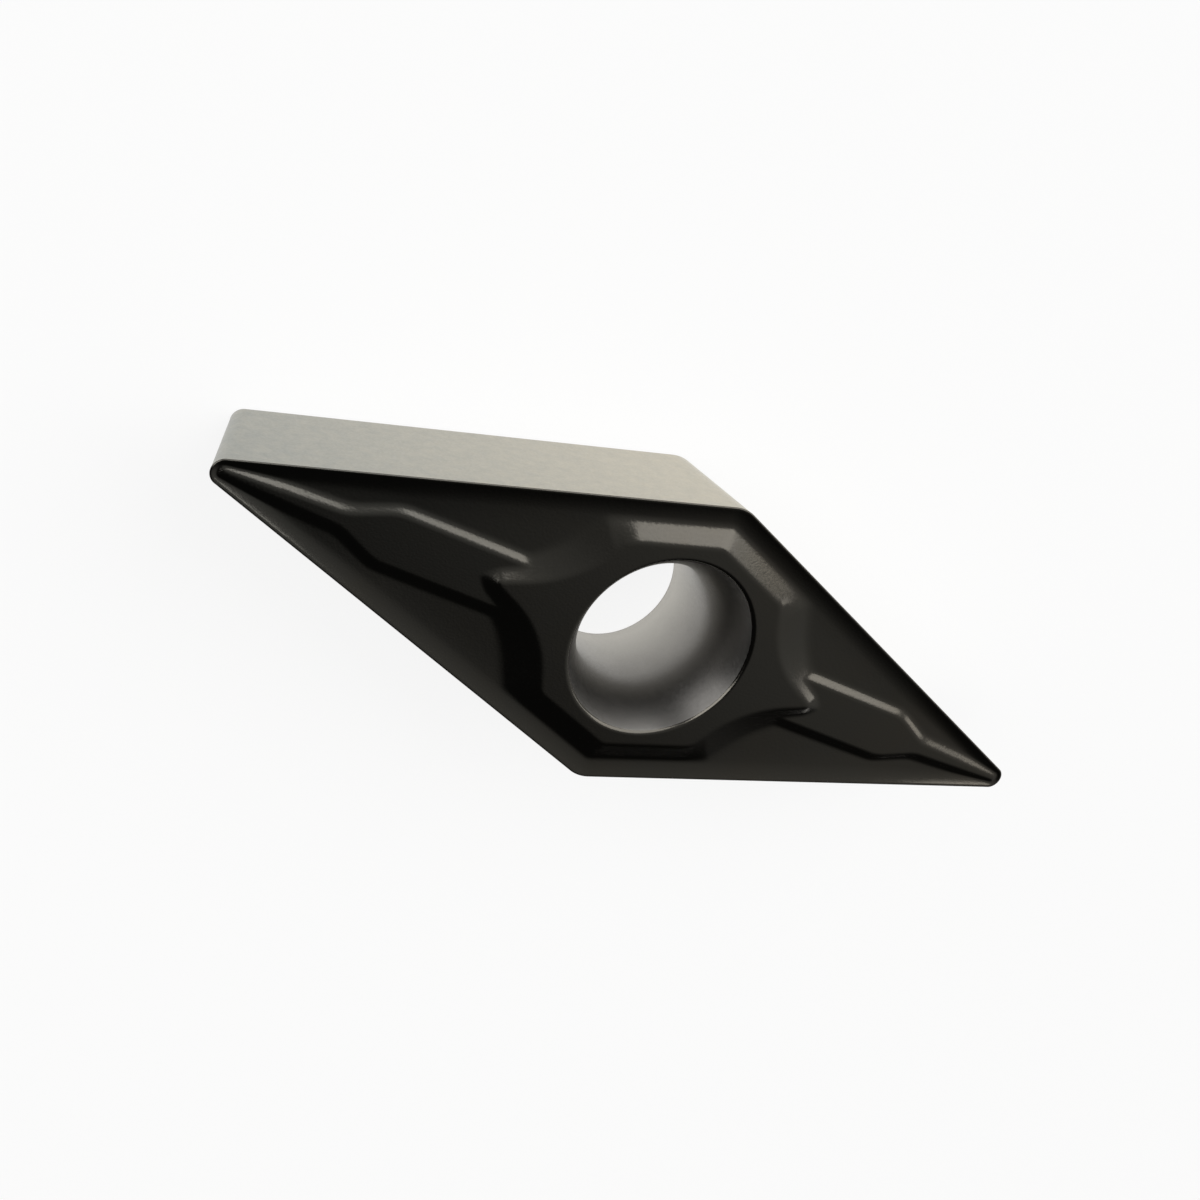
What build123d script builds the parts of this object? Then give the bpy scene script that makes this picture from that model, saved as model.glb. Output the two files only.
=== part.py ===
from build123d import *
import math
import os

# Carbide turning insert: a 35 degree rhombus with clearance, one cutting face with a
# moulded chipbreaker, and a countersunk hole for its fixing screw. It is one pressed
# and sintered piece. The origin is the centre of the seat face, +X runs to an acute
# nose and +Z comes out of the cutting face. Millimetres and degrees.

# Body
inscribed_circle = 9.525      # touches all four cutting edges
thickness = 4.76              # from the seat face to the cutting edges
nose_angle = 35.0             # included angle at the two acute corners
clearance_angle = 5.0         # the flanks lean in below the cutting edges
nose_radius = 0.4             # the two acute corners
heel_radius = 1.15            # the two obtuse corners
seat_edge_break = 0.08        # chamfer round the seat face

# Chip groove, a concave band inside the cutting edges
edge_land = 0.04              # flat rim that strengthens the cutting edge
groove_width = 0.62           # from the land to the flat floor, square to the cutting edge
groove_depth = 0.13           # floor below the cutting edges
groove_bands = 5              # ruled bands that follow the groove's arc
valley_radius = 0.05          # where the bands of two edges meet behind a nose

# Spine, a low pad along the long diagonal that ends in a finger behind each nose
spine_height = 0.0            # top face above the cutting edges
spine_half_width = 0.75       # top face, from the boss to the shoulder
spine_wall_run = 0.36         # how far the wall spreads from top to floor
finger_half_width = 0.20      # top face at the neck
finger_tip_half_width = 0.08  # top face at the end
finger_wall_run = 0.20        # spread of the wall at the end
finger_tip_rounding = 0.8     # radius of the end, as a share of its half width
finger_setback = 0.31         # from the nose to the end of the top face
finger_length = 3.65          # from the neck to the end
shoulder_length = 1.35        # from the shoulder to the neck
shoulder_radius = 1.5         # rounds the shoulder and the neck

# Boss round the hole, with concave sides that run out along the spine
boss_height = 0.16            # plateau above the cutting edges
boss_rim = 0.48               # between the countersink and the plateau's straight sides
boss_side_run = 0.57          # spread of the wall below the straight sides
boss_shoulder = 2.85          # end of the plateau's straight sides, along X
boss_waist_x = 3.85           # corner of the plateau's concave sides
boss_waist_y = 0.90
boss_tip = 6.05               # end of the plateau, along X
boss_foot_shoulder = 4.20     # the same corners at the foot of the wall
boss_foot_waist_x = 5.30
boss_foot_waist_y = 1.50
boss_foot_tip = 7.20
boss_corner_radius = 0.45     # corners of the plateau and of its foot
boss_waist_radius = 4.0       # concave sides
boss_tip_radius = 0.08

# Fixing hole
fixing_bore = 4.4             # diameter of the cylindrical wall
countersink = 6.0             # diameter at the plateau
countersink_flare = 3.4       # radius of the bell that joins rim and bore
bore_exit_break = 0.10        # chamfer at the seat face

pad_root = 0.05               # how far the raised pads reach down into the body
hole_overrun = 1.0            # how far the shape that cuts the hole passes both faces

# Levels and places that follow from the sizes
half_nose = math.radians(nose_angle / 2)
half_width = inscribed_circle / 2
floor_level = thickness - groove_depth
spine_level = thickness + spine_height
boss_level = thickness + boss_height
nose_reach = half_width / math.sin(half_nose) - nose_radius * (1 / math.sin(half_nose) - 1)


def outline(corners, level):
    """Flat face at a level, from corners (x, y, radius) in order round it."""
    count = len(corners)
    points = [Vector(x, y, level) for x, y, radius in corners]
    starts = []
    ends = []
    edges = []
    for i in range(count):
        here = points[i]
        back = (points[i - 1] - here).normalized()
        ahead = (points[(i + 1) % count] - here).normalized()
        half_angle = math.radians(back.get_angle(ahead)) / 2
        radius = corners[i][2]
        tangent = radius / math.tan(half_angle)
        bulge = radius / math.sin(half_angle) - radius
        starts.append(here + back * tangent)
        ends.append(here + ahead * tangent)
        edges.append(ThreePointArc(starts[i], here + (back + ahead).normalized() * bulge, ends[i]))
    for i in range(count):
        edges.append(Line(ends[i], starts[(i + 1) % count]))
    return make_face(edges)


def all_round(quarter):
    """Corners right round, from those of the quarter with x and y positive, X axis first."""
    left = [(-x, y, radius) for x, y, radius in reversed(quarter) if x > 0]
    upper = quarter + left
    lower = [(x, -y, radius) for x, y, radius in reversed(upper) if y > 0]
    return upper + lower


def rhombus(inset):
    """Sharp corners of the rhombus whose sides lie inside the cutting edges by the inset."""
    width = half_width - inset
    long = width / math.sin(half_nose)
    short = width / math.cos(half_nose)
    return [(long, 0), (0, short), (-long, 0), (0, -short)]


def upright_edges(body):
    """Edges where two flanks meet, from the acute corners to the obtuse ones."""
    edges = body.edges().filter_by(lambda edge: abs(edge.tangent_at(0.5).Z) > 0.5)
    return edges.sort_by(lambda edge: -abs(edge.center().X))


def make_body():
    """Prism drafted in below its cutting edges, with its corners rounded and its seat eased."""
    prism = extrude(Polygon(*rhombus(0), align=None), thickness)
    flanks = prism.faces().filter_by(Axis.Z, reverse=True)
    body = draft(flanks, Plane.XY.offset(thickness), -clearance_angle)
    body = fillet(upright_edges(body)[:2], nose_radius)
    body = fillet(upright_edges(body)[-2:], heel_radius)
    return chamfer(body.faces().sort_by(Axis.Z)[0].edges(), seat_edge_break)


def make_groove():
    """What the groove and the floor take away, widening upwards to the land."""
    half_turn = 2 * math.atan(groove_depth / groove_width)
    arc_radius = groove_width / math.sin(half_turn)
    sections = []
    for band in range(groove_bands + 1):
        angle = half_turn * (1 - band / groove_bands)
        inset = edge_land + groove_width - arc_radius * math.sin(angle)
        level = floor_level + arc_radius * (1 - math.cos(angle))
        long, short = rhombus(inset)[0][0], rhombus(inset)[1][1]
        nose = (long, 0, max(nose_radius - inset, valley_radius))
        heel = (0, short, heel_radius - inset)
        sections.append(outline(all_round([nose, heel]), level))
    return loft(sections, ruled=True)


def make_pad(foot_corners, top_corners, top_level):
    """Raised pad with sloping walls, rooted in the body."""
    foot = outline(foot_corners, floor_level)
    top = outline(top_corners, top_level)
    return loft([foot, top], ruled=True) + extrude(foot, -pad_root)


def spine_quarter(spread, end_spread):
    """Corners of the spine's quarter, with its walls spread outwards."""
    end = nose_reach - finger_setback
    neck = end - finger_length
    shoulder = neck - shoulder_length
    tip_half_width = finger_tip_half_width + end_spread
    return [
        (end + end_spread, tip_half_width, tip_half_width * finger_tip_rounding),
        (neck, finger_half_width + spread, shoulder_radius),
        (shoulder, spine_half_width + spread, shoulder_radius),
    ]


def make_spine():
    foot = spine_quarter(spine_wall_run, finger_wall_run)
    top = spine_quarter(0, 0)
    return make_pad(all_round(foot), all_round(top), spine_level)


def boss_quarter(distance, shoulder, waist_x, waist_y, tip):
    """Corners of the boss's quarter; its straight sides run at a distance from the axis."""
    peak = distance / math.cos(half_nose)
    return [
        (tip, 0, boss_tip_radius),
        (waist_x, waist_y, boss_waist_radius),
        (shoulder, peak - shoulder * math.tan(half_nose), boss_corner_radius),
        (0, peak, boss_corner_radius),
    ]


def make_boss():
    top_distance = countersink / 2 + boss_rim
    foot_distance = top_distance + boss_side_run
    top = boss_quarter(top_distance, boss_shoulder, boss_waist_x, boss_waist_y, boss_tip)
    foot = boss_quarter(
        foot_distance, boss_foot_shoulder, boss_foot_waist_x, boss_foot_waist_y, boss_foot_tip
    )
    return make_pad(all_round(foot), all_round(top), boss_level)


def make_hole():
    """Cylindrical bore with a bell-shaped countersink and a small chamfer at the seat."""
    bore = fixing_bore / 2
    rim = countersink / 2
    flare_angle = math.acos(1 - (rim - bore) / countersink_flare)
    bell_start = boss_level - countersink_flare * math.sin(flare_angle)
    half_angle = flare_angle / 2
    bell_middle = (
        bore + countersink_flare * (1 - math.cos(half_angle)),
        bell_start + countersink_flare * math.sin(half_angle),
    )
    over = boss_level + hole_overrun
    under = -hole_overrun
    profile = [
        Line((0, under), (bore + bore_exit_break - under, under)),
        Line((bore + bore_exit_break - under, under), (bore, bore_exit_break)),
        Line((bore, bore_exit_break), (bore, bell_start)),
        ThreePointArc((bore, bell_start), bell_middle, (rim, boss_level)),
        Line((rim, boss_level), (rim, over)),
        Line((rim, over), (0, over)),
        Line((0, over), (0, under)),
    ]
    return revolve(Plane.XZ * make_face(profile), Axis.Z)


turning_insert = make_body() - make_groove() + make_spine() + make_boss() - make_hole()

os.makedirs("parts", exist_ok=True)
export_step(turning_insert, "parts/turning_insert.step")
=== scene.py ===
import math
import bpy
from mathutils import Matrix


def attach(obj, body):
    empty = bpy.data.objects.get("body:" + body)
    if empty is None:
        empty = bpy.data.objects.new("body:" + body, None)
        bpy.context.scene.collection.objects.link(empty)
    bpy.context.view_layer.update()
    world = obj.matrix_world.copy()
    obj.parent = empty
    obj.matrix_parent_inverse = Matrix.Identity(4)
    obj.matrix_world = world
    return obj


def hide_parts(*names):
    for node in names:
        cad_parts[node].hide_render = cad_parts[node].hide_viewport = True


bl_info = {
    "name": "Turning insert",
    "version": (1, 0, 0),
    "blender": (4, 5, 0),
    "location": "3D View > Sidebar > Insert",
    "description": "Builds a coated carbide turning insert with its chipbreaker, and its stage",
    "category": "Object",
}

import bpy
import numpy as np
from bpy.props import FloatProperty, FloatVectorProperty, PointerProperty
from mathutils import Quaternion, Vector
from mathutils.geometry import delaunay_2d_cdt

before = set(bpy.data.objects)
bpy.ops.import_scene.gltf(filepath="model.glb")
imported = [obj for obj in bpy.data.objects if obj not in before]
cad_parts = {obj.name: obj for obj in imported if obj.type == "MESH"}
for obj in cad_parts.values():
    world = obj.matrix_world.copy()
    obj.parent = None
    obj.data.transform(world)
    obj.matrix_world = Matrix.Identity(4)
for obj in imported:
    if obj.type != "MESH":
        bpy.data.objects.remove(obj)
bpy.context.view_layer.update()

MM = 0.001


def linear(hex_colour):
    """Linear red, green and blue of an sRGB colour such as "#2A2826"."""
    channels = [int(hex_colour[i:i + 2], 16) / 255 for i in (1, 3, 5)]
    return tuple(c / 12.92 if c <= 0.04045 else ((c + 0.055) / 1.055) ** 2.4 for c in channels)


def length_property(name, description, millimetres):
    return FloatProperty(
        name=name, description=description, default=millimetres * MM, unit="LENGTH", precision=5
    )


def angle_property(name, description, degrees):
    return FloatProperty(
        name=name, description=description, default=math.radians(degrees), subtype="ANGLE"
    )


def share_property(name, description, share):
    return FloatProperty(
        name=name, description=description, default=share, min=0, max=1, subtype="FACTOR"
    )


def power_property(name, description, watts):
    return FloatProperty(name=name, description=description, default=watts, min=0, unit="POWER")


def colour_property(name, description, hex_colour):
    return FloatVectorProperty(
        name=name, description=description, default=linear(hex_colour),
        size=3, subtype="COLOR", min=0, max=1,
    )


# ---------------------------------------------------------------- sizes and colours


class InsertBodySizes(bpy.types.PropertyGroup):
    inscribed_circle: length_property("Inscribed circle", "Touches all four cutting edges", 9.525)
    thickness: length_property("Thickness", "From the seat face to the cutting edges", 4.76)
    nose_angle: angle_property("Nose angle", "Angle of the two acute corners", 35)
    clearance: angle_property("Clearance", "How far the flanks lean in", 5)
    nose_radius: length_property("Nose radius", "Rounding of the acute corners", 0.4)
    heel_radius: length_property("Heel radius", "Rounding of the obtuse corners", 1.15)
    hone: length_property("Edge hone", "Rounding of the cutting edges", 0.035)
    seat_break: length_property("Seat edge", "Rounding of the edge round the seat face", 0.10)


class InsertGrooveSizes(bpy.types.PropertyGroup):
    land: length_property("Land", "Flat rim beside the cutting edges", 0.05)
    width: length_property("Width", "From the land to the foot of the steep part", 0.62)
    run_out: length_property("Run-out", "From the land to where the groove meets the floor", 1.90)
    steep_share: share_property("Steep share", "Share of the depth that is steep at the boss", 0.50)
    change_start: length_property("Change start", "Along X, where that share starts to grow", 9.0)
    change_end: length_property("Change end", "Along X, where all of the depth is steep", 12.5)
    depth: length_property("Depth", "Floor below the cutting edges", 0.12)


class InsertSpineSizes(bpy.types.PropertyGroup):
    half_width: length_property("Half width", "Flat top beside the boss", 0.77)
    wall: length_property("Wall", "Spread of the wall beside the boss", 0.32)
    neck_half_width: length_property("Neck half width", "Flat top where the finger starts", 0.20)
    tip_half_width: length_property("Tip half width", "Flat top at the end of the finger", 0.07)
    tip_wall: length_property("Tip wall", "Spread of the wall at the end of the finger", 0.24)
    tip_rounding: share_property("Tip rounding", "Radius as a share of half the end's width", 0.8)
    setback: length_property("Setback", "From the nose to the end of the finger", 0.31)
    finger: length_property("Finger length", "From the neck to the end", 3.65)
    shoulder: length_property("Shoulder length", "From the shoulder to the neck", 1.35)
    bend: length_property("Bend", "Rounding of the shoulder and the neck in plan", 1.5)
    crest: share_property("Crest rounding", "Share of the wall that the crest takes up", 0.12)
    foot: share_property("Foot rounding", "Share of the wall that the foot takes up", 0.25)


class InsertBossSizes(bpy.types.PropertyGroup):
    height: length_property("Height", "Plateau above the cutting edges", 0.16)
    rim: length_property("Rim", "From the countersink to the straight sides", 0.45)
    wall: length_property("Wall", "Spread of the wall below the straight sides", 0.71)
    shoulder: length_property("Shoulder", "End of the straight sides, along X", 2.85)
    waist_x: length_property("Waist, along X", "Corner of the concave sides", 3.85)
    waist_y: length_property("Waist, along Y", "Corner of the concave sides", 0.90)
    tip: length_property("Tip", "End of the plateau, along X", 6.05)
    foot_shoulder: length_property("Foot shoulder", "End of the straight sides at the foot", 3.95)
    foot_waist_x: length_property("Foot waist, along X", "Concave corner at the foot", 4.88)
    foot_waist_y: length_property("Foot waist, along Y", "Concave corner at the foot", 1.40)
    foot_tip: length_property("Foot tip", "End of the wall's foot, along X", 7.20)
    corner_radius: length_property("Corner radius", "Corners of the straight sides in plan", 0.45)
    waist_radius: length_property("Waist radius", "Concave sides in plan", 4.0)
    tip_radius: length_property("Tip radius", "End of the plateau in plan", 0.08)
    crest: share_property("Crest rounding", "Share of the wall that the crest takes up", 0.08)
    foot: share_property("Foot rounding", "Share of the wall that the foot takes up", 0.20)


class InsertHoleSizes(bpy.types.PropertyGroup):
    bore: length_property("Bore", "Diameter of the straight wall", 4.4)
    countersink: length_property("Countersink", "Diameter at the plateau", 6.0)
    flare: length_property("Flare", "Radius of the bell between rim and bore", 3.4)
    rim_rounding: length_property("Rim rounding", "Rounding of the rim", 0.18)
    exit_break: length_property("Exit break", "Chamfer at the seat face", 0.10)


class InsertFinish(bpy.types.PropertyGroup):
    rake: colour_property("Chip face", "Nitride coating on the pressed chip face", "#575652")
    rake_warm: colour_property("Chip face, warm", "Where that coating is thinner", "#5B564E")
    hole: colour_property("Hole", "Satin wall of the hole below the rim", "#757370")
    # Painted reflection: the hole's wall is coloured lighter towards the seat face, where it
    # reflects the white paper below the hole.
    hole_painted_reflection: colour_property("Hole, painted reflection", "Near the seat, where the coating is thin", "#B7B4AD")
    flank: colour_property("Flanks", "Satin coating on the flanks", "#989992")
    flank_warm: colour_property("Flanks, warm", "Where the flanks are warmer", "#C5BEAC")


class InsertStage(bpy.types.PropertyGroup):
    floor: colour_property("Floor", "Paper that the insert lies on", "#F7F7F6")
    window_power: power_property("Window light", "Power of the large lamp on the far side", 2.15)
    sill_power: power_property("Sill light", "Power of the low end of the window light", 0.15)
    front_power: power_property("Front light", "Power of the soft lamp near the camera", 1.5)
    card_power: power_property("Card light", "Power of the low card that lights the hole", 0.7)


# ---------------------------------------------------------------- plan shapes


def rounded_loop(corners, step):
    """Closed plan line through rounded corners (x, y, radius), as points about a step apart."""
    places = np.array([(x, y) for x, y, _ in corners])
    points = []
    count = len(corners)
    for i in range(count):
        here = places[i]
        back = places[i - 1] - here
        ahead = places[(i + 1) % count] - here
        back /= np.linalg.norm(back)
        ahead /= np.linalg.norm(ahead)
        half = math.acos(np.clip(back @ ahead, -1, 1)) / 2
        radius = corners[i][2]
        middle = back + ahead
        centre = here + middle / np.linalg.norm(middle) * radius / math.sin(half)
        first = here + back * radius / math.tan(half) - centre
        sweep = math.pi - 2 * half
        turn = math.copysign(sweep, back[1] * ahead[0] - back[0] * ahead[1])
        steps = max(2, math.ceil(radius * sweep / step))
        for k in range(steps + 1):
            angle = turn * k / steps
            cosine, sine = math.cos(angle), math.sin(angle)
            turned = (first[0] * cosine - first[1] * sine, first[0] * sine + first[1] * cosine)
            points.append(centre + turned)
    return np.array(points)


def all_round(quarter):
    """Corners right round, from those with x and y positive, X axis first."""
    left = [(-x, y, radius) for x, y, radius in reversed(quarter) if x > 0]
    upper = quarter + left
    lower = [(x, -y, radius) for x, y, radius in reversed(upper) if y > 0]
    return upper + lower


def signed_distance(points, loop):
    """Distance from each point to a closed plan line, negative inside it."""
    run = np.roll(loop, -1, axis=0) - loop
    keep = (run ** 2).sum(axis=1) > 0
    nearest = np.full(len(points), np.inf)
    inside = np.zeros(len(points), dtype=bool)
    for (ax, ay), (rx, ry) in zip(loop[keep], run[keep]):
        dx, dy = points[:, 0] - ax, points[:, 1] - ay
        along = np.clip((dx * rx + dy * ry) / (rx * rx + ry * ry), 0, 1)
        nearest = np.minimum(nearest, (dx - along * rx) ** 2 + (dy - along * ry) ** 2)
        if ry != 0:
            crossed = (dy >= 0) != (dy >= ry)
            inside ^= crossed & (dx < dy * rx / ry)
    distance = np.sqrt(nearest)
    return np.where(inside, -distance, distance)


def inset_loop(loop, inset):
    """A closed plan line moved inwards, point by point."""
    ahead = np.roll(loop, -1, axis=0) - np.roll(loop, 1, axis=0)
    ahead /= np.linalg.norm(ahead, axis=1)[:, None]
    inward = np.column_stack((-ahead[:, 1], ahead[:, 0]))
    return loop + inward * inset


def ring(radius, count):
    """Points of a circle in plan."""
    angles = np.arange(count) * 2 * math.pi / count
    return np.column_stack((radius * np.cos(angles), radius * np.sin(angles)))


def wall_height(points, top_loop, foot_loop, crest, foot):
    """1 on top of a raised pad and 0 beyond the foot of its straight walls, whose crest and
    foot are rounded off by these shares of the wall."""
    top = signed_distance(points, top_loop)
    part = np.clip(top / (top - signed_distance(points, foot_loop)), -crest, 1 + foot)
    fall = np.where(part < crest, (part + crest) ** 2 / (4 * crest), part)
    return 1 - np.where(part > 1 - foot, 1 - (1 + foot - part) ** 2 / (4 * foot), fall)


def blend_up(a, b, reach):
    """The higher of two surfaces, with the crease between them filled over a reach."""
    near = np.clip(reach - abs(a - b), 0, None) / reach
    return np.maximum(a, b) + near ** 2 * reach / 4


class InsertShape:
    """Plan lines and heights of the insert, from the sizes in the sidebar."""

    plan_step = 0.1 * MM
    smallest_nose = 0.02 * MM
    spine_crease = 0.02 * MM
    boss_crease = 0.03 * MM
    nose_steps = 14
    edge_steps = 150
    heel_steps = 20

    def __init__(self, scene):
        self.body = scene.insert_body
        self.groove = scene.insert_groove
        self.spine = scene.insert_spine
        self.boss = scene.insert_boss
        self.hole = scene.insert_hole
        self.half_width = self.body.inscribed_circle / 2
        self.half_nose = self.body.nose_angle / 2
        self.sine = math.sin(self.half_nose)
        self.cosine = math.cos(self.half_nose)
        self.nose_reach = self.half_width / self.sine - self.body.nose_radius * (1 / self.sine - 1)

    def edge_loop(self, inset):
        """Plan line inside the cutting edges by an inset; its count of points never changes."""
        sine, cosine = self.sine, self.cosine
        width = self.half_width - inset
        nose_radius = max(self.body.nose_radius - inset, self.smallest_nose)
        heel_radius = self.body.heel_radius
        nose_centre = (width - nose_radius) / sine
        heel_centre = (width - heel_radius) / cosine
        edge_angle = math.pi / 2 - self.half_nose
        quarter = []
        for k in range(self.nose_steps):
            angle = edge_angle * k / self.nose_steps
            x, y = nose_radius * math.cos(angle), nose_radius * math.sin(angle)
            quarter.append((nose_centre + x, y))
        start = np.array((nose_centre + nose_radius * sine, nose_radius * cosine))
        end = np.array((heel_radius * sine, heel_centre + heel_radius * cosine))
        for k in range(self.edge_steps):
            quarter.append(tuple(start + (end - start) * k / self.edge_steps))
        for k in range(self.heel_steps):
            angle = edge_angle + self.half_nose * k / self.heel_steps
            x, y = heel_radius * math.cos(angle), heel_radius * math.sin(angle)
            quarter.append((x, heel_centre + y))
        quarter.append((0.0, heel_centre + heel_radius))
        upper = quarter + [(-x, y) for x, y in reversed(quarter[:-1])]
        return np.array(upper + [(x, -y) for x, y in reversed(upper[1:-1])])

    def flank_loop(self, depth):
        """Plan line of the flanks at a depth below the cutting edges; corners keep their radius."""
        shrink = depth * math.tan(self.body.clearance)
        loop = self.edge_loop(0)
        nose_radius = self.body.nose_radius
        nose_line = (self.half_width - nose_radius) / self.sine + nose_radius * self.sine
        heel_line = self.body.heel_radius * self.sine
        part = np.clip((abs(loop[:, 0]) - heel_line) / (nose_line - heel_line), 0, 1)
        loop[:, 0] -= np.sign(loop[:, 0]) * part * shrink / self.sine
        loop[:, 1] -= np.sign(loop[:, 1]) * (1 - part) * shrink / self.cosine
        return loop

    def edge_distance(self, points):
        """How far each plan point lies inside the cutting edges."""
        sine, cosine = self.sine, self.cosine
        x, y = abs(points[:, 0]), abs(points[:, 1])
        nose, heel = self.body.nose_radius, self.body.heel_radius
        inside = self.half_width - x * sine - y * cosine
        nose_x = x - (self.half_width - nose) / sine
        inside = np.where(nose_x * cosine - y * sine > 0, nose - np.hypot(nose_x, y), inside)
        heel_y = y - (self.half_width - heel) / cosine
        return np.where(x * cosine - heel_y * sine < 0, heel - np.hypot(x, heel_y), inside)

    def spine_loop(self, spread, end_spread):
        """Plan line of the spine, which runs through the boss from one nose to the other."""
        spine = self.spine
        end = self.nose_reach - spine.setback
        neck = end - spine.finger
        shoulder = neck - spine.shoulder
        tip = spine.tip_half_width + end_spread
        corners = [
            (end + end_spread, tip, tip * spine.tip_rounding),
            (neck, spine.neck_half_width + spread, spine.bend),
            (shoulder, spine.half_width + spread, spine.bend),
        ]
        return rounded_loop(all_round(corners), self.plan_step)

    def boss_loop(self, distance, shoulder, waist_x, waist_y, tip):
        """Plan line of the boss; its straight sides run at a distance from the axis."""
        boss = self.boss
        peak = distance / self.cosine
        corners = [
            (tip, 0, boss.tip_radius),
            (waist_x, waist_y, boss.waist_radius),
            (shoulder, peak - shoulder * math.tan(self.half_nose), boss.corner_radius),
            (0, peak, boss.corner_radius),
        ]
        return rounded_loop(all_round(corners), self.plan_step)

    def heights(self, points):
        """Height of the chip face above the cutting edges at each plan point."""
        groove, spine, boss = self.groove, self.spine, self.boss
        floor = -groove.depth
        # The groove drops behind the land and runs out onto the floor, more steeply near the noses.
        change = groove.change_end - groove.change_start
        along = np.clip((abs(points[:, 0]) - groove.change_start) / change, 0, 1)
        steep = groove.steep_share + (1 - groove.steep_share) * along
        inside = self.edge_distance(points) - groove.land
        near = 1 - np.clip(inside / groove.width, 0, 1)
        far = 1 - np.clip(inside / groove.run_out, 0, 1)
        channel = floor - floor * (steep * near ** 2 + (1 - steep) * far ** 2)

        top = self.spine_loop(0, 0)
        foot = self.spine_loop(spine.wall, spine.tip_wall)
        raised = wall_height(points, top, foot, spine.crest, spine.foot)
        ridge = floor - floor * raised

        distance = self.hole.countersink / 2 + boss.rim
        top = self.boss_loop(distance, boss.shoulder, boss.waist_x, boss.waist_y, boss.tip)
        foot = self.boss_loop(
            distance + boss.wall,
            boss.foot_shoulder, boss.foot_waist_x, boss.foot_waist_y, boss.foot_tip,
        )
        raised = wall_height(points, top, foot, boss.crest, boss.foot)
        plateau = floor + (boss.height - floor) * raised
        return blend_up(blend_up(channel, ridge, self.spine_crease), plateau, self.boss_crease)


# ---------------------------------------------------------------- mesh


class MeshBuilder:
    """Collects points and faces, with one material number for each face."""

    def __init__(self):
        self.points = []
        self.faces = []
        self.finishes = []

    def add_points(self, plan, level):
        """Adds plan points at a level, or each at its own level, and returns their numbers."""
        first = len(self.points)
        levels = np.broadcast_to(level, len(plan))
        self.points.extend((float(x), float(y), float(z)) for (x, y), z in zip(plan, levels))
        return list(range(first, first + len(plan)))

    def add_face(self, corners, finish):
        """Adds a face by its corners' numbers, counter-clockwise from outside."""
        self.faces.append(tuple(corners))
        self.finishes.append(finish)

    def bridge(self, upper, lower, finish):
        """Band of quads between two closed loops with the same count, seen from outside."""
        for i in range(len(upper)):
            j = (i + 1) % len(upper)
            self.add_face((upper[i], lower[i], lower[j], upper[j]), finish)

    def make(self, name, materials):
        """Smooth piece of all the points and faces so far."""
        mesh = bpy.data.meshes.new(name)
        mesh.from_pydata(self.points, [], self.faces)
        for material in materials:
            mesh.materials.append(material)
        mesh.polygons.foreach_set("material_index", self.finishes)
        mesh.polygons.foreach_set("use_smooth", [True] * len(self.faces))
        mesh.validate()
        mesh.update()
        piece = bpy.data.objects.new(name, mesh)
        bpy.context.scene.collection.objects.link(piece)
        return piece


SAME_POINT = 1e-6 * MM


def fill_between(outer, inner, extra):
    """Triangles between an outer and an inner closed plan line, through extra plan points, and
    where each of the given points went."""
    given = [Vector(p) for loop in (outer, inner, extra) for p in loop]
    first = len(outer)
    edges = [(i, (i + 1) % first) for i in range(first)]
    edges += [(first + i, first + (i + 1) % len(inner)) for i in range(len(inner))]
    plan, _, triangles, origins, _, _ = delaunay_2d_cdt(given, edges, [], 1, SAME_POINT)
    plan = np.array([tuple(p) for p in plan])
    middles = np.array([plan[list(triangle)].mean(axis=0) for triangle in triangles])
    outside = signed_distance(middles, np.array(inner)) > 0
    places = {origin: i for i, group in enumerate(origins) for origin in group}
    return plan, [triangle for triangle, kept in zip(triangles, outside) if kept], places


# The order of the insert's materials.
CHIP_FACE, FLANK, HOLE_WALL = 0, 1, 2

HOLE_STEPS = 192
RIM_MARGINS = (0.04 * MM, 0.10 * MM)
GROOVE_STEP = 0.06 * MM
CLOSEST_POINTS = 0.005 * MM
OFF_THE_LOOP = 0.01 * MM
FIELD_STEP = 0.075 * MM

# The field of points covers this share of the inscribed circle, as the heels reach past it.
FIELD_REACH = 1.1


def build_chip_face(builder, shape, rim):
    """Loops along the cutting edges, then an even field of points up to the rim of the hole."""
    groove = shape.groove
    outer = shape.edge_loop(shape.body.hone)
    inner = ring(rim, HOLE_STEPS)
    inset = groove.land
    extra = []
    while inset < groove.land + groove.width + GROOVE_STEP:
        loop = shape.edge_loop(inset)
        spacing = np.hypot(*(loop - np.roll(loop, 1, axis=0)).T)
        on_the_loop = shape.edge_distance(loop) > inset - OFF_THE_LOOP
        extra.extend(loop[on_the_loop & (spacing > CLOSEST_POINTS)])
        last_inset = inset
        inset += GROOVE_STEP
    for margin in RIM_MARGINS:
        extra.extend(ring(rim + margin, HOLE_STEPS))
    field_width = shape.half_width * FIELD_REACH
    rows = np.arange(-field_width, field_width, FIELD_STEP * math.sqrt(0.75))
    columns = np.arange(-shape.nose_reach, shape.nose_reach, FIELD_STEP)
    field = np.array([(x + i % 2 * FIELD_STEP / 2, y) for i, y in enumerate(rows) for x in columns])
    clear_of_groove = shape.edge_distance(field) > last_inset + FIELD_STEP / 2
    clear_of_hole = np.hypot(field[:, 0], field[:, 1]) > rim + RIM_MARGINS[-1] + FIELD_STEP / 2
    extra.extend(field[clear_of_groove & clear_of_hole])

    plan, triangles, places = fill_between(outer, inner, extra)
    numbers = builder.add_points(plan, shape.body.thickness + shape.heights(plan))
    for triangle in triangles:
        builder.add_face([numbers[i] for i in triangle], CHIP_FACE)
    edge = [numbers[places[i]] for i in range(len(outer))]
    rim_edge = [numbers[places[len(outer) + i]] for i in range(len(inner))]
    return edge, rim_edge


EDGE_STEPS = 5
FLANK_MARGINS = (0.03 * MM, 0.10 * MM)
FLANK_SHARES = (0.35, 0.65)
SEAT_MARGIN = 0.08 * MM


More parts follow.
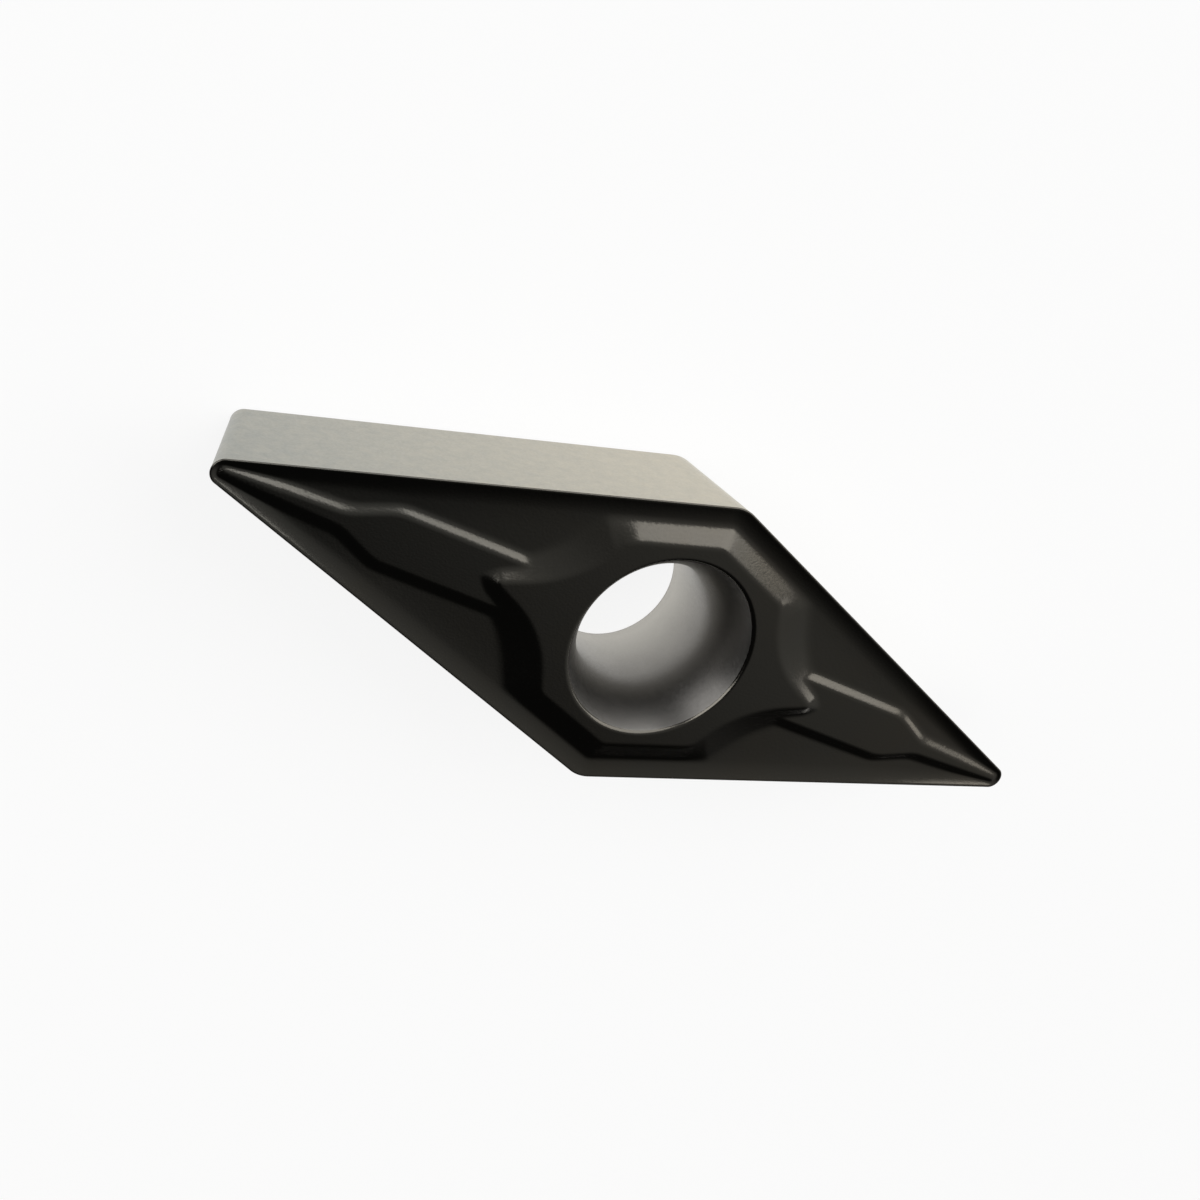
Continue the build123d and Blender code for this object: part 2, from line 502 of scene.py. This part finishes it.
def build_flanks(builder, shape, edge):
    """Hone, flanks and the rounded seat edge; returns the last plan line and its numbers."""
    body = shape.body
    last = edge
    hone_turn = math.pi / 2 - body.clearance
    for k in range(1, EDGE_STEPS + 1):
        angle = hone_turn * k / EDGE_STEPS
        level = body.thickness - body.hone * (1 - math.cos(angle))
        numbers = builder.add_points(shape.edge_loop(body.hone * (1 - math.sin(angle))), level)
        builder.bridge(last, numbers, CHIP_FACE)
        last = numbers
    full_depth = body.thickness - body.seat_break
    # Rows close to both edges keep the smooth shading off the flat of the flanks.
    depths = [body.hone + margin for margin in FLANK_MARGINS]
    depths += [full_depth * share for share in FLANK_SHARES]
    depths += [full_depth - FLANK_MARGINS[-1], full_depth]
    for depth in depths:
        numbers = builder.add_points(shape.flank_loop(depth), body.thickness - depth)
        builder.bridge(last, numbers, FLANK)
        last = numbers
    foot = shape.flank_loop(full_depth)
    for k in range(1, EDGE_STEPS + 1):
        angle = math.pi / 2 * k / EDGE_STEPS
        loop = inset_loop(foot, body.seat_break * (1 - math.cos(angle)))
        numbers = builder.add_points(loop, body.seat_break * (1 - math.sin(angle)))
        builder.bridge(last, numbers, FLANK)
        last = numbers
    seat_edge = inset_loop(foot, body.seat_break + SEAT_MARGIN)
    numbers = builder.add_points(seat_edge, 0)
    builder.bridge(last, numbers, FLANK)
    return seat_edge, numbers


RIM_STEPS = 8
BELL_STEPS = 24
BORE_MARGIN_ABOVE = 0.20 * MM
BORE_MARGIN_BELOW = 0.15 * MM

# Halfway along the chamfer at the seat face, as shares of its size.
EXIT_OUT = 0.5
EXIT_UP = 0.35


def build_hole(builder, shape, rim, rim_edge):
    """Rounded rim, bell, straight bore and the chamfer at the seat; returns the last circle
    and its numbers."""
    hole = shape.hole
    bore_radius = hole.bore / 2
    plateau = shape.body.thickness + shape.boss.height
    flare_turn = math.acos(1 - (hole.countersink / 2 - bore_radius) / hole.flare)
    bell_start = plateau - hole.flare * math.sin(flare_turn)
    rim_turn = math.pi / 2 - flare_turn
    profile = []
    for k in range(1, RIM_STEPS + 1):
        angle = rim_turn * k / RIM_STEPS
        radius = rim - hole.rim_rounding * math.sin(angle)
        profile.append((radius, plateau - hole.rim_rounding * (1 - math.cos(angle)), CHIP_FACE))
    bell_turn = math.acos(1 - (profile[-1][0] - bore_radius) / hole.flare)
    for k in range(1, BELL_STEPS + 1):
        angle = bell_turn * (1 - k / BELL_STEPS)
        radius = bore_radius + hole.flare * (1 - math.cos(angle))
        profile.append((radius, bell_start + hole.flare * math.sin(angle), HOLE_WALL))
    profile += [
        (bore_radius, bell_start - BORE_MARGIN_ABOVE, HOLE_WALL),
        (bore_radius, hole.exit_break + BORE_MARGIN_BELOW, HOLE_WALL),
        (bore_radius, hole.exit_break, HOLE_WALL),
        (bore_radius + hole.exit_break * EXIT_OUT, hole.exit_break * EXIT_UP, FLANK),
        (bore_radius + hole.exit_break, 0, FLANK),
        (bore_radius + hole.exit_break + SEAT_MARGIN, 0, FLANK),
    ]
    last = rim_edge
    for radius, level, finish in profile:
        numbers = builder.add_points(ring(radius, HOLE_STEPS), level)
        builder.bridge(numbers, last, finish)
        last = numbers
    return ring(profile[-1][0], HOLE_STEPS), last


def build_insert(scene, materials):
    """Whole insert as one closed piece: chip face, flanks, hole and seat face."""
    shape = InsertShape(scene)
    builder = MeshBuilder()
    hole = shape.hole
    # The rim's rounding starts on the plateau this far out, and ends tangent to the bell.
    bell_slope = math.pi / 2 - math.acos(1 - (hole.countersink - hole.bore) / 2 / hole.flare)
    rim = hole.countersink / 2 + hole.rim_rounding * math.tan(bell_slope / 2)
    edge, rim_edge = build_chip_face(builder, shape, rim)
    seat_edge, seat_numbers = build_flanks(builder, shape, edge)
    exit_edge, exit_numbers = build_hole(builder, shape, rim, rim_edge)
    _, triangles, places = fill_between(seat_edge, exit_edge, [])
    known = {places[i]: number for i, number in enumerate(seat_numbers + exit_numbers)}
    for triangle in triangles:
        builder.add_face([known[i] for i in reversed(triangle)], FLANK)
    return builder.make("turning_insert_body", materials)


# ---------------------------------------------------------------- materials


def add_node(tree, kind, settings=None, links=None):
    """Adds a node, sets its options and sockets, and links sockets by name or number."""
    node = tree.nodes.new(kind)
    for name, value in (settings or {}).items():
        if isinstance(name, str) and hasattr(node, name):
            setattr(node, name, value)
        else:
            node.inputs[name].default_value = value
    for name, socket in (links or {}).items():
        tree.links.new(socket, node.inputs[name])
    return node


def new_material(name):
    """Material with an empty node tree."""
    material = bpy.data.materials.new(name)
    material.use_nodes = True
    material.node_tree.nodes.clear()
    return material


NOISE_DETAIL = 3
NOISE_SPAN = (0.3, 0.7)


def coated_carbide(name, colours, drift, gradient, grain, roughness):
    """Nitride coating on sintered carbide, between two colours. The drift gives the size of its
    cloudy patches in millimetres and how much they mix in the second colour; the gradient gives an
    axis and where along it, in millimetres, that colour starts and has taken over. Pressed powder
    gives it a grain, of a size and depth in millimetres, that moves the roughness."""
    material = new_material(name)
    tree = material.node_tree
    place = add_node(tree, "ShaderNodeTexCoord").outputs["Object"]
    scaled = add_node(tree, "ShaderNodeMapping", {"Scale": [1 / MM] * 3}, {"Vector": place})
    mm = scaled.outputs["Vector"]
    drift_size, drift_share = drift
    patches = add_node(
        tree, "ShaderNodeTexNoise",
        {"Scale": 1 / drift_size, "Detail": NOISE_DETAIL},
        {"Vector": mm},
    )
    axis, start, end = gradient
    along = add_node(tree, "ShaderNodeSeparateXYZ", None, {"Vector": mm})
    taken_over = add_node(
        tree, "ShaderNodeMapRange",
        {
            "From Min": start, "From Max": end,
            "To Min": -drift_share / 2, "To Max": 1 - drift_share / 2,
        },
        {"Value": along.outputs[axis]},
    )
    mixed = add_node(
        tree, "ShaderNodeMath", {"operation": "MULTIPLY_ADD", 1: drift_share},
        {0: patches.outputs["Fac"], 2: taken_over.outputs["Result"]},
    )
    first, second = colours
    colour = add_node(
        tree, "ShaderNodeMix", {"data_type": "RGBA", 6: (*first, 1), 7: (*second, 1)},
        {0: mixed.outputs[0]},
    )
    grain_size, grain_depth = grain
    powder = add_node(
        tree, "ShaderNodeTexNoise",
        {"Scale": 1 / grain_size, "Detail": NOISE_DETAIL},
        {"Vector": mm},
    )
    lowest, highest = NOISE_SPAN
    smoothest, roughest = roughness
    gloss = add_node(
        tree, "ShaderNodeMapRange",
        {"From Min": lowest, "From Max": highest, "To Min": smoothest, "To Max": roughest},
        {"Value": powder.outputs["Fac"]},
    )
    bump = add_node(
        tree, "ShaderNodeBump", {"Distance": grain_depth * MM}, {"Height": powder.outputs["Fac"]}
    )
    shader = add_node(
        tree, "ShaderNodeBsdfPrincipled", {"Metallic": 1.0},
        {
            "Base Color": colour.outputs[2],
            "Roughness": gloss.outputs["Result"],
            "Normal": bump.outputs["Normal"],
        },
    )
    add_node(tree, "ShaderNodeOutputMaterial", None, {"Surface": shader.outputs["BSDF"]})
    return material


def chip_face_coating(finish):
    """Aluminium titanium nitride on the pressed face: near black and glossy, so that the
    chipbreaker shows in its reflections. Its grain is about 0.002 mm, drawn at 0.07 mm so that
    it shows."""
    return coated_carbide(
        "nitride_coated_pressed_carbide", (finish.rake, finish.rake_warm),
        drift=(3.0, 1.0), gradient=("X", -30, 30), grain=(0.07, 0.002), roughness=(0.13, 0.20),
    )


def flank_coating(finish):
    """The same coating over the flanks and the seat face: satin silver, grey at one end and beige
    at the other, with a fine mottling. Its grain is drawn coarse too, at 0.08 mm."""
    return coated_carbide(
        "nitride_coated_flank_carbide", (finish.flank, finish.flank_warm),
        drift=(0.35, 0.55), gradient=("X", -16, 2), grain=(0.08, 0.003), roughness=(0.30, 0.42),
    )


def hole_coating_and_painted_reflection(finish):
    """Darker satin grey round the bell, painted lighter towards the seat face as a painted
    reflection of the white paper below the hole. Its grain is drawn coarse too, at 0.08 mm."""
    return coated_carbide(
        "nitride_coated_hole_carbide", (finish.hole, finish.hole_painted_reflection),
        # The gradient along Z is a painted reflection: the colour grows lighter towards the seat
        # face.
        drift=(1.2, 0.2), gradient=("Z", 3.4, 0.4), grain=(0.08, 0.002), roughness=(0.34, 0.44),
    )


def matt_paper(stage):
    """White paper that keeps a soft shadow near the insert. Most of it glows for eye and
    reflection, and all of it does beyond the lamps, so it shows white everywhere."""
    material = new_material("matt_paper")
    tree = material.node_tree
    place = add_node(tree, "ShaderNodeTexCoord").outputs["Object"]
    distance = add_node(tree, "ShaderNodeVectorMath", {"operation": "LENGTH"}, {0: place})
    near, far = PAPER_GLOW_DISTANCES
    glow_share = add_node(
        tree, "ShaderNodeMapRange",
        {"From Min": near, "From Max": far, "To Min": PAPER_GLOW, "To Max": 1.0},
        {"Value": distance.outputs["Value"]},
    )
    path = add_node(tree, "ShaderNodeLightPath").outputs
    seen = add_node(
        tree, "ShaderNodeMath", {"operation": "MAXIMUM"},
        {0: path["Is Camera Ray"], 1: path["Is Glossy Ray"]},
    )
    seen = add_node(
        tree, "ShaderNodeMath", {"operation": "MAXIMUM"},
        {0: seen.outputs[0], 1: path["Is Transmission Ray"]},
    )
    share = add_node(
        tree, "ShaderNodeMath", {"operation": "MULTIPLY"},
        {0: seen.outputs[0], 1: glow_share.outputs["Result"]},
    )
    paper = add_node(tree, "ShaderNodeBsdfDiffuse", {"Color": (*stage.floor, 1)})
    glow = add_node(tree, "ShaderNodeEmission", {"Color": (1, 1, 1, 1), "Strength": 1.0})
    mix = add_node(
        tree, "ShaderNodeMixShader", None,
        {0: share.outputs[0], 1: paper.outputs["BSDF"], 2: glow.outputs["Emission"]},
    )
    add_node(tree, "ShaderNodeOutputMaterial", None, {"Surface": mix.outputs["Shader"]})
    return material


# ---------------------------------------------------------------- stage

# The stage's lengths are in metres.
FLOOR_REACH = 1.2
COVE_RADIUS = 0.11
COVE_STEPS = 12
STAGE_STEPS = 96

# Share of the paper's look that is its own glow, which grows to 1 between these distances.
PAPER_GLOW = 0.85
PAPER_GLOW_DISTANCES = (0.30, 0.90)

# Name, azimuth, elevation, distance, width and height of each lamp, and the setting for its power.
SOFT_LAMPS = (
    ("window_softbox", 66, 41, 0.60, 0.74, 0.50, "window_power"),
    ("window_sill", 22, 27, 0.60, 0.24, 0.12, "sill_power"),
    ("front_softbox", 165, 58, 0.60, 0.40, 0.40, "front_power"),
    ("white_card", 160, 22, 0.60, 0.50, 0.30, "card_power"),
)
LAMP_TARGET = Vector((0, 0, 0.003))

# The room's grey level against how far a direction points towards the window.
WINDOW_DIRECTION = (0.55, 0.70, 0.30)
ROOM_LEVELS = (
    (-0.46, 0.016), (0.10, 0.020), (0.19, 0.045), (0.28, 0.105),
    (0.39, 0.215), (0.59, 0.30), (0.83, 0.38), (0.95, 0.44),
)
ROOM_TINT = (0.985, 1.0, 0.99)

CAMERA_PLACE = Vector((-28.9483, 15.0709, 47.3311)) * MM
CAMERA_TARGET = Vector((-2.6901, 0.6415, 4.76)) * MM
CAMERA_ROLL = math.radians(145.955)
CAMERA_LENS = 53.2320
CAMERA_CLIP = (0.001, 10)


def add_floor(stage):
    """Round sheet of paper that curves up into a low cove at its edge."""
    builder = MeshBuilder()
    sheet = builder.add_points(ring(FLOOR_REACH, STAGE_STEPS), 0)
    builder.add_face(sheet, 0)
    last = sheet
    for k in range(1, COVE_STEPS + 1):
        angle = math.pi / 2 * k / COVE_STEPS
        plan = ring(FLOOR_REACH + COVE_RADIUS * math.sin(angle), STAGE_STEPS)
        numbers = builder.add_points(plan, COVE_RADIUS * (1 - math.cos(angle)))
        builder.bridge(last, numbers, 0)
        last = numbers
    builder.make("floor", [matt_paper(stage)])


def add_lamps(scene, stage):
    """Soft lamps round the insert, which show in its coating and not as shapes in the picture."""
    for name, azimuth, elevation, distance, width, height, setting in SOFT_LAMPS:
        lamp = bpy.data.lights.new(name, "AREA")
        lamp.shape = "RECTANGLE"
        lamp.size = width
        lamp.size_y = height
        lamp.energy = getattr(stage, setting)
        holder = bpy.data.objects.new(name, lamp)
        turn, rise = math.radians(azimuth), math.radians(elevation)
        across, up = distance * math.cos(rise), distance * math.sin(rise)
        place = Vector((across * math.cos(turn), across * math.sin(turn), up))
        holder.location = place
        holder.rotation_euler = (LAMP_TARGET - place).to_track_quat("-Z", "Y").to_euler()
        holder.visible_camera = False
        scene.collection.objects.link(holder)


def add_world(scene):
    """A dim grey room that grows brighter towards the window."""
    world = bpy.data.worlds.new("soft_room")
    world.use_nodes = True
    tree = world.node_tree
    tree.nodes.clear()
    place = add_node(tree, "ShaderNodeTexCoord")
    towards = add_node(
        tree, "ShaderNodeVectorMath", {"operation": "DOT_PRODUCT", 1: WINDOW_DIRECTION},
        {0: place.outputs["Generated"]},
    )
    part = add_node(
        tree, "ShaderNodeMapRange", {"From Min": -1.0, "From Max": 1.0},
        {"Value": towards.outputs["Value"]},
    )
    level = add_node(tree, "ShaderNodeValToRGB", None, {"Fac": part.outputs["Result"]})
    ramp = level.color_ramp
    ramp.elements.remove(ramp.elements[1])
    for i, (towards_window, grey) in enumerate(ROOM_LEVELS):
        place_on_ramp = (towards_window + 1) / 2
        stop = ramp.elements[0] if i == 0 else ramp.elements.new(place_on_ramp)
        stop.position = place_on_ramp
        stop.color = (*(grey * channel for channel in ROOM_TINT), 1)
    walls = add_node(
        tree, "ShaderNodeBackground", {"Strength": 1.0}, {"Color": level.outputs["Color"]}
    )
    add_node(tree, "ShaderNodeOutputWorld", None, {"Surface": walls.outputs["Background"]})
    scene.world = world


def add_camera(scene):
    """Camera above one acute corner, turned so that the long axis lies across the picture."""
    camera = bpy.data.cameras.new("camera")
    camera.sensor_width = 36
    camera.lens = CAMERA_LENS
    camera.clip_start, camera.clip_end = CAMERA_CLIP
    holder = bpy.data.objects.new("camera", camera)
    aim = (CAMERA_TARGET - CAMERA_PLACE).to_track_quat("-Z", "Y")
    roll = Quaternion((0, 0, 1), CAMERA_ROLL)
    holder.location = CAMERA_PLACE
    holder.rotation_euler = (aim @ roll).to_euler()
    scene.collection.objects.link(holder)
    scene.camera = holder


# ---------------------------------------------------------------- operators and panel


class INSERT_OT_body(bpy.types.Operator):
    """Builds the insert with its chipbreaker, hole and coated surfaces"""

    bl_idname = "insert.body"
    bl_label = "Insert"

    def execute(self, context):
        finish = context.scene.insert_finish
        materials = [chip_face_coating(finish), flank_coating(finish), hole_coating_and_painted_reflection(finish)]
        piece = build_insert(context.scene, materials)
        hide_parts("turning_insert")
        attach(piece, "root")
        return {"FINISHED"}


class INSERT_OT_stage(bpy.types.Operator):
    """Sets up the floor, the soft lamps, the world and the camera"""

    bl_idname = "insert.stage"
    bl_label = "Stage"

    def execute(self, context):
        scene = context.scene
        stage = scene.insert_stage
        add_floor(stage)
        add_lamps(scene, stage)
        add_world(scene)
        add_camera(scene)
        scene.view_settings.view_transform = "Standard"
        return {"FINISHED"}


GROUPS = {
    "insert_body": ("Body", InsertBodySizes),
    "insert_groove": ("Chip groove", InsertGrooveSizes),
    "insert_spine": ("Spine", InsertSpineSizes),
    "insert_boss": ("Boss", InsertBossSizes),
    "insert_hole": ("Hole", InsertHoleSizes),
    "insert_finish": ("Finish", InsertFinish),
    "insert_stage": ("Stage", InsertStage),
}
OPERATORS = (INSERT_OT_body, INSERT_OT_stage)


class INSERT_PT_sidebar(bpy.types.Panel):
    """Sizes, colours and buttons of the turning insert"""

    bl_idname = "INSERT_PT_sidebar"
    bl_label = "Turning insert"
    bl_space_type = "VIEW_3D"
    bl_region_type = "UI"
    bl_category = "Insert"

    def draw(self, context):
        for attribute, (title, kind) in GROUPS.items():
            box = self.layout.box()
            box.label(text=title)
            for name in kind.__annotations__:
                box.prop(getattr(context.scene, attribute), name)
        for operator in OPERATORS:
            self.layout.operator(operator.bl_idname)


def register():
    for attribute, (_, kind) in GROUPS.items():
        bpy.utils.register_class(kind)
        setattr(bpy.types.Scene, attribute, PointerProperty(type=kind))
    for item in (*OPERATORS, INSERT_PT_sidebar):
        bpy.utils.register_class(item)


def unregister():
    for item in (INSERT_PT_sidebar, *OPERATORS):
        bpy.utils.unregister_class(item)
    for attribute, (_, kind) in GROUPS.items():
        delattr(bpy.types.Scene, attribute)
        bpy.utils.unregister_class(kind)


def main():
    register()
    bpy.ops.insert.body()
    bpy.ops.insert.stage()


if __name__ == "__main__":
    main()
